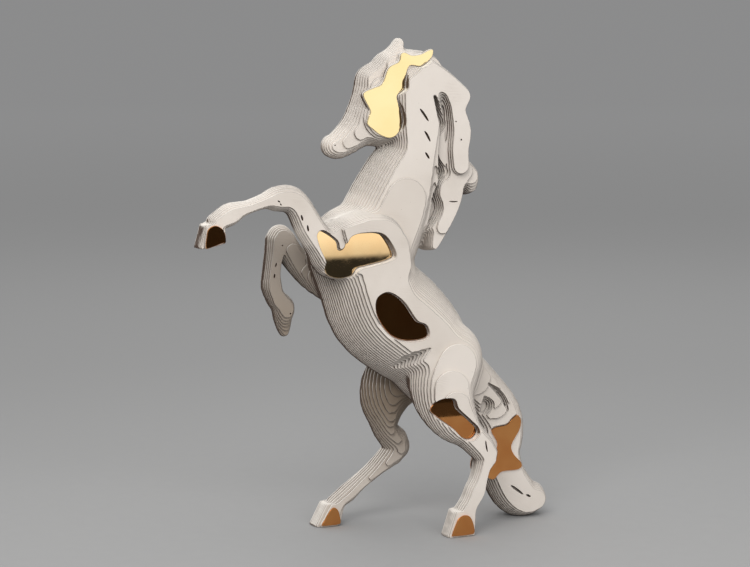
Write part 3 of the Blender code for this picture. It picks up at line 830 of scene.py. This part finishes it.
def dress_boards():
    """Cuts thin boards from the body, and puts them in place of the solid ones."""
    xs, zs = sample_grid()
    x, z = np.meshgrid(xs, zs, indexing="ij")
    sections = body_sections(x, z)
    finishes = [board_material(), slit_material()]
    bare = np.full(x.shape, BARE)
    for cut, field in sections.items():
        boxes = solids_of(cut // PLIES)
        lean = sections.get(cut - 1, bare) - sections.get(cut + 1, bare)
        slits = [slit_loop(slit) for slit in SLITS if slit.board == cut // PLIES]
        for number, loops in enumerate(pieces(field, xs, zs)):
            name = solid_like(boxes, loops[0])
            if name is None:  # a last sliver, past the outermost solids
                continue
            edges = [(loop, BOARD_EDGE, 0) for loop in loops]
            edges += [(slit, SLIT_EDGE, 1) for slit in slits if fits(slit, loops)]
            piece = f"{name.replace('board', 'cut_board')}_{cut % PLIES}{number}"
            made = slab(piece, edges, ply_middle(cut), PLY_PITCH - SEAM, finishes)
            slopes = [sampled(lean, xs, zs, loop) / LEAN_FULL for loop, _, _ in edges]
            give_lean(made, [np.clip(slope, -1, 1) for slope in slopes])
            stands_for(made, name)


def dress_plates():
    """Makes every plate again with a finer outline and softened edges."""
    golds = {place: gold_material(*gold) for place, gold in GOLDS.items()}
    deep = gold_material(*DEEP_GOLD)
    for name, plate in PLATES.items():
        finish = golds.get(name.partition("_")[2], deep)
        face = plate.side * plate.board * BOARD_PITCH + plate.side * (BOARD_PITCH - SEAM) / 2
        y = face + plate.side * (PLATE_GAP + PLATE_THICKNESS / 2)
        loop = evened(smooth_outline(plate.points, steps=12), PLATE_SPACING)
        if area(loop) < 0:
            loop = loop[::-1]
        made = slab(f"cut_plate_{name}", [(loop, PLATE_EDGE, 0)], y, PLATE_THICKNESS, [finish])
        stands_for(made, f"plate_{name}")


def slit_loop(slit):
    """The outline of a slit, clockwise, tapering to its ends."""
    line = np.array(slit.points, float) * UNIT
    t = np.linspace(0, 1, SLIT_STEPS)
    knots = np.linspace(0, 1, len(line))
    middle = np.column_stack([np.interp(t, knots, line[:, 0]), np.interp(t, knots, line[:, 1])])
    for _ in range(3):  # times that its bends are eased
        middle[1:-1] = (middle[:-2] + middle[1:-1] * 2 + middle[2:]) / 4
    ahead = np.gradient(middle, axis=0)
    aside = np.column_stack([-ahead[:, 1], ahead[:, 0]]) / np.hypot(*ahead.T)[:, None]
    half = slit.width / 2 * np.sqrt(np.clip(SLIT_BLUNTNESS - (2 * t - 1) ** 2, 0, 1))[:, None]
    return np.vstack([middle + aside * half, (middle - aside * half)[::-1]])


def node(tree, kind, inputs=None, **settings):
    """A shader node with its settings. Inputs are values, or sockets to link."""
    made = tree.nodes.new(kind)
    for key, value in settings.items():
        setattr(made, key, value)
    for key, value in (inputs or {}).items():
        if isinstance(value, bpy.types.NodeSocket):
            tree.links.new(value, made.inputs[key])
        else:
            made.inputs[key].default_value = value
    return made


def math_node(tree, operation, a, b=0.0, c=0.0):
    """A sum, product or other operation on values or sockets."""
    return node(tree, "ShaderNodeMath", {0: a, 1: b, 2: c}, operation=operation).outputs[0]


def ramp(tree, value, low, high, to_low=0.0, to_high=1.0):
    """The value eased from one range into another."""
    inputs = {"Value": value, "From Min": low, "From Max": high, "To Min": to_low, "To Max": to_high}
    return node(tree, "ShaderNodeMapRange", inputs, interpolation_type="SMOOTHSTEP").outputs[0]


def mix(tree, share, a, b):
    """One colour turned into another by a share."""
    made = node(tree, "ShaderNodeMix", {0: share}, data_type="RGBA")
    for socket, value in ((made.inputs[6], a), (made.inputs[7], b)):
        if isinstance(value, bpy.types.NodeSocket):
            tree.links.new(value, socket)
        else:
            socket.default_value = (*value, 1)
    return made.outputs[2]


def noise(tree, where, scale, detail=3.0, rough=0.5):
    """Soft random spots, from 0 to 1."""
    inputs = {"Vector": where, "Scale": scale, "Detail": detail, "Roughness": rough}
    return node(tree, "ShaderNodeTexNoise", inputs).outputs["Fac"]


def new_material(name):
    """A new material, its nodes, the place on the object and the shader to wire up."""
    made = bpy.data.materials.new(name)
    made.use_nodes = True
    tree = made.node_tree
    where = node(tree, "ShaderNodeTexCoord").outputs["Object"]
    return made, tree, where, tree.nodes["Principled BSDF"]


def through_board(tree, where):
    """How far through its board a point lies, from 0 at its -Y face to 1, and the boards' count."""
    y = node(tree, "ShaderNodeSeparateXYZ", {0: where}).outputs["Y"]
    first = PLIES / 2 - SHIFT_Y / PLY_PITCH
    counted = math_node(tree, "MULTIPLY_ADD", y, 1 / (PLY_PITCH * MM), first)
    return math_node(tree, "FRACT", counted), counted


def pale_places(tree, place):
    """How near a point is to one of the places with pale edges, from 0 to 1."""
    nearness = 0.0
    for x, z, reach in PALE_PLACES:
        across = math_node(tree, "SUBTRACT", place["X"], (x * UNIT + SHIFT_X) * MM)
        up = math_node(tree, "SUBTRACT", place["Z"], z * UNIT * MM)
        height = math_node(tree, "MULTIPLY", up, up)
        far = math_node(tree, "SQRT", math_node(tree, "MULTIPLY_ADD", across, across, height))
        near = ramp(tree, far, reach * MM, 0.5 * reach * MM)
        nearness = math_node(tree, "MAXIMUM", nearness, near)
    return nearness


def face_colour(tree, where, counted):
    """The mottled cream of a board's faces, with faint ripples and specks, and the ripples alone."""
    board_number = math_node(tree, "FLOOR", counted)
    tone = node(tree, "ShaderNodeTexWhiteNoise", {"W": board_number}, noise_dimensions="1D")
    patch = math_node(tree, "MULTIPLY_ADD", tone.outputs[0], 0.35, noise(tree, where, 16.0, 4.0))
    face = mix(tree, ramp(tree, patch, 0.45, 0.95), CREAM, CREAM_MOTTLE_AND_PAINTED_SHADE)

    stretched = node(tree, "ShaderNodeMapping", {"Vector": where, "Scale": (1.0, 0.0, 2.6)})
    inputs = {"Vector": stretched.outputs[0], "Scale": 90.0}
    inputs |= {"Distortion": 9.0, "Detail": 2.0, "Detail Scale": 0.35}
    ripple = node(tree, "ShaderNodeTexWave", inputs, bands_direction="Z").outputs["Fac"]
    where_lines = ramp(tree, noise(tree, where, 22.0, 2.0), 0.48, 0.62)
    ripples = math_node(tree, "MULTIPLY", ramp(tree, ripple, 0.62, 0.98), where_lines)
    face = mix(tree, math_node(tree, "MULTIPLY", ripples, 0.28), face, RIPPLE_BROWN)

    cells = node(tree, "ShaderNodeTexVoronoi", {"Vector": where, "Scale": 95.0}).outputs["Distance"]
    specks = ramp(tree, cells, 0.055, 0.02)
    return mix(tree, math_node(tree, "MULTIPLY", specks, 0.45), face, SPECK_BROWN), ripples


def painted_inner_shade(tree, place, normal, counted):
    """How much painted shade a face gets for lying on the inward side of the right legs, from 0 to
    1, weaker low down and high up.
    """
    right = math_node(tree, "GREATER_THAN", counted, PLIES)
    inward = ramp(tree, normal["Y"], -0.5, -0.9)
    low = ramp(tree, place["Z"], 0.03, 0.13, 0.25, 1.0)
    high = ramp(tree, place["Z"], 0.33, 0.16, 0.45, 1.0)
    turned = math_node(tree, "MULTIPLY", right, inward)
    return math_node(tree, "MULTIPLY", turned, math_node(tree, "MULTIPLY", low, high))


def edge_colour(tree, where, place, normal, through):
    """The colour of a cut edge: paler with painted light where it faces up and darker with painted
    shade where it faces down; pale where it meets its board's smaller neighbour, and umber towards
    the larger one and along its seams, partly as scorch and partly as painted shade, more so where
    it faces down."""
    lean = node(tree, "ShaderNodeAttribute", attribute_name="lean").outputs["Fac"]
    off = math_node(tree, "SUBTRACT", through, 0.5)
    inward = math_node(tree, "MULTIPLY_ADD", off, lean, 0.5)
    seam = ramp(tree, math_node(tree, "ABSOLUTE", off), 0.34, 0.43, 0.0, 0.75)
    # Painted light and shade: a cut edge is paler the more it faces up and darker the more it faces
    # down
    rim = mix(tree, ramp(tree, normal["Z"], -0.2, 0.75), CREAM_MOTTLE_AND_PAINTED_SHADE, CREAM_PAINTED_LIGHT)
    # Painted shade: the umber starts further out on a cut edge, and covers more of it, the more it
    # faces down
    start = ramp(tree, normal["Z"], -0.3, 0.6, 0.08, 0.50)
    wavering = math_node(tree, "MULTIPLY_ADD", noise(tree, where, 160.0, 2.0), 0.24, -0.12)
    depth = math_node(tree, "SUBTRACT", math_node(tree, "ADD", inward, wavering), start)
    scorch_and_painted_shade = math_node(tree, "MAXIMUM", ramp(tree, depth, 0.0, 0.14), seam)
    strength = math_node(tree, "MULTIPLY_ADD", pale_places(tree, place), -0.6, 1.0)
    return mix(tree, math_node(tree, "MULTIPLY", scorch_and_painted_shade, strength), rim, UMBER)


def board_material():
    """Painted board: cream faces, with painted shade on the inward faces of the right legs, and cut
    edges that are paler with painted light facing up, darker with painted shade facing down, and
    umber towards the board behind, partly as scorch and partly as painted shade.
    """
    made, tree, where, shader = new_material("board")
    place = node(tree, "ShaderNodeSeparateXYZ", {0: where}).outputs
    surface = node(tree, "ShaderNodeNewGeometry").outputs["Normal"]
    normal = node(tree, "ShaderNodeSeparateXYZ", {0: surface}).outputs
    through, counted = through_board(tree, where)
    face, ripples = face_colour(tree, where, counted)
    # Painted shade on the inward faces of the right legs
    face = mix(tree, painted_inner_shade(tree, place, normal, counted), face, INNER_SHADE)
    edge = ramp(tree, math_node(tree, "ABSOLUTE", normal["Y"]), 0.93, 0.60)
    colour = mix(tree, edge, face, edge_colour(tree, where, place, normal, through))

    fibre = noise(tree, where, 900.0, 3.0, 0.65)
    fuzz = math_node(tree, "MULTIPLY", fibre, 0.35)
    heights = math_node(tree, "MULTIPLY_ADD", ripples, -0.5, fuzz)
    bump = node(tree, "ShaderNodeBump", {"Height": heights, "Strength": 0.35, "Distance": 0.0004})
    tree.links.new(colour, shader.inputs["Base Color"])
    tree.links.new(ramp(tree, fibre, 0.2, 0.8, 0.58, 0.78), shader.inputs["Roughness"])
    tree.links.new(bump.outputs[0], shader.inputs["Normal"])
    return made


def slit_material():
    """Near-black walls of slits and holes, with a faint grain."""
    made, tree, where, shader = new_material("slit")
    grain = noise(tree, where, 300.0, 3.0)
    tree.links.new(mix(tree, grain, SLIT_DARK, SLIT_PALE), shader.inputs["Base Color"])
    tree.links.new(ramp(tree, grain, 0.2, 0.8, 0.7, 0.9), shader.inputs["Roughness"])
    return made


def gold_material(name, bright, deep):
    """Polished metal: a slow drift of colour, faint smears in the polish and a hint of ripple."""
    made, tree, where, shader = new_material(name)
    drift = noise(tree, where, 30.0, 2.0)
    smear = noise(tree, where, 140.0, 4.0, 0.6)
    tree.links.new(mix(tree, ramp(tree, drift, 0.3, 0.7), bright, deep), shader.inputs["Base Color"])
    tree.links.new(ramp(tree, smear, 0.35, 0.8, 0.02, 0.05), shader.inputs["Roughness"])
    bump = node(tree, "ShaderNodeBump", {"Height": drift, "Strength": 0.003, "Distance": 0.001})
    tree.links.new(bump.outputs[0], shader.inputs["Normal"])
    shader.inputs["Metallic"].default_value = 1.0
    return made


def aimed(obj, place, target):
    """Puts a light or camera in its place, looking at its target."""
    obj.location = place
    obj.rotation_mode = "QUATERNION"
    obj.rotation_quaternion = (Vector(target) - Vector(place)).to_track_quat("-Z", "Y")
    bpy.context.scene.collection.objects.link(obj)


def soft_light(name, light):
    """A broad rectangle of light."""
    lamp = bpy.data.lights.new(name, "AREA")
    lamp.shape = "RECTANGLE"
    lamp.size = light.wide
    lamp.size_y = light.high
    lamp.energy = light.power
    lamp.color = light.colour
    aimed(bpy.data.objects.new(name, lamp), light.place, light.target)


def panel(name, corners, finish):
    """A flat four-cornered sheet of the studio."""
    mesh = bpy.data.meshes.new(name)
    mesh.from_pydata(corners, [], [(0, 1, 2, 3)])
    mesh.materials.append(finish)
    made = bpy.data.objects.new(name, mesh)
    bpy.context.scene.collection.objects.link(made)
    return made


def floor_material():
    """Pale grey card with a faint grain, darkened further off as painted shade, and from a metre out
    a painted glow of the sky's low grey in place of its own colour.
    """
    made, tree, where, shader = new_material("floor")
    far = node(tree, "ShaderNodeVectorMath", {0: where}, operation="LENGTH").outputs["Value"]
    grain = noise(tree, where, 60.0, 3.0)
    near_colour = mix(tree, grain, FLOOR_NEAR, tuple(1.04 * c for c in FLOOR_NEAR))
    floor = mix(tree, ramp(tree, far, 0.1, 1.2), near_colour, FLOOR_FAR)
    # Painted glow: far off, the floor loses its own colour and shines with the sky's low grey
    gone = ramp(tree, far, 1.0, 9.0)
    tree.links.new(mix(tree, gone, floor, (0, 0, 0)), shader.inputs["Base Color"])
    tree.links.new(gone, shader.inputs["Emission Strength"])
    shader.inputs["Emission Color"].default_value = (*SKY_LOW, 1)
    shader.inputs["Roughness"].default_value = 0.85
    sheen = math_node(tree, "MULTIPLY_ADD", gone, -0.15, 0.15)
    tree.links.new(sheen, shader.inputs["Specular IOR Level"])
    return made


def reflector_material():
    """A painted reflection for the plates: a panel that only they mirror, black low down and on the
    left, and glowing above.
    """
    made, tree, where, shader = new_material("reflector")
    place = node(tree, "ShaderNodeSeparateXYZ", {0: where}).outputs
    up = ramp(tree, place["Z"], GLOW_BOTTOM, GLOW_BOTTOM + 0.008)
    dusk = ramp(tree, place["Z"], GLOW_BOTTOM, GLOW_BOTTOM + 0.035, 0.65, 1.0)
    brighter = ramp(tree, place["Z"], GLOW_BOTTOM, GLOW_TOP, 1.0, 1.1)
    rise = math_node(tree, "MULTIPLY", dusk, brighter)
    across = ramp(tree, place["X"], GLOW_LEFT, GLOW_LEFT + 0.03)
    shown = math_node(tree, "MULTIPLY", up, across)
    strength = math_node(tree, "MULTIPLY_ADD", math_node(tree, "MULTIPLY", shown, rise), GLOW, 0.012)
    shader.inputs["Base Color"].default_value = (0.01, 0.01, 0.01, 1)
    shader.inputs["Emission Color"].default_value = (*GLOW_COLOUR, 1)
    shader.inputs["Roughness"].default_value = 0.9
    tree.links.new(strength, shader.inputs["Emission Strength"])
    return made


def shade_material():
    """Near-black sheet, seen only mirrored in the lower plates: a painted dark reflection."""
    made, tree, where, shader = new_material("shade")
    colour = mix(tree, noise(tree, where, 40.0), SHADE_DARK, SHADE_PALE)
    tree.links.new(colour, shader.inputs["Base Color"])
    shader.inputs["Roughness"].default_value = 0.9
    return made


def panels():
    """The floor, and the two sheets of painted reflection that only the gold mirrors."""
    far = FLOOR_REACH
    floor = [(-far, -far, 0), (far, -far, 0), (far, far, 0), (-far, far, 0)]
    panel("floor", floor, floor_material())
    left, right = REFLECTOR_X
    y, top = REFLECTOR_Y, REFLECTOR_TOP
    upright = [(left, y, 0.0), (right, y, 0.0), (right, y, top), (left, y, top)]
    reflector = panel("reflector", upright, reflector_material())
    low, near = SHADE_STRIP_Y
    z = SHADE_STRIP_Z
    flat = [(left, low, z), (right, low, z), (right, near, z), (left, near, z)]
    strip = panel("shade_strip", flat, shade_material())
    for mirrored in (reflector, strip):
        mirrored.visible_camera = False
        mirrored.visible_diffuse = False
        mirrored.visible_shadow = False


def studio():
    """The panels, the sky and the lights of the studio."""
    scene = bpy.context.scene
    scene.view_settings.view_transform = "Standard"
    panels()
    world = bpy.data.worlds.new("studio")
    world.use_nodes = True
    tree = world.node_tree
    towards = node(tree, "ShaderNodeTexCoord").outputs["Generated"]
    up = node(tree, "ShaderNodeSeparateXYZ", {0: towards}).outputs["Z"]
    glow = mix(tree, ramp(tree, up, 0.02, 0.9), SKY_LOW, SKY_HIGH)
    tree.links.new(glow, tree.nodes["Background"].inputs["Color"])
    scene.world = world
    for name, light in LIGHTS.items():
        soft_light(name, light)


def camera():
    """The photograph's camera, which looks from ahead of the horse's left side."""
    lens = bpy.data.cameras.new("camera")
    lens.lens = SENSOR_WIDTH * FOCAL_PIXELS / PHOTO_WIDTH
    turn = math.radians(CAMERA_TURN)
    rise = math.radians(CAMERA_RISE)
    level = math.cos(rise)
    back = Vector((math.sin(turn) * level, -math.cos(turn) * level, math.sin(rise)))
    target = Vector((SHIFT_X * MM, SHIFT_Y * MM, CAMERA_TARGET))
    made = bpy.data.objects.new("camera", lens)
    aimed(made, target + CAMERA_DISTANCE * back, target)
    bpy.context.scene.camera = made


camera()
dress_boards()
dress_plates()
studio()
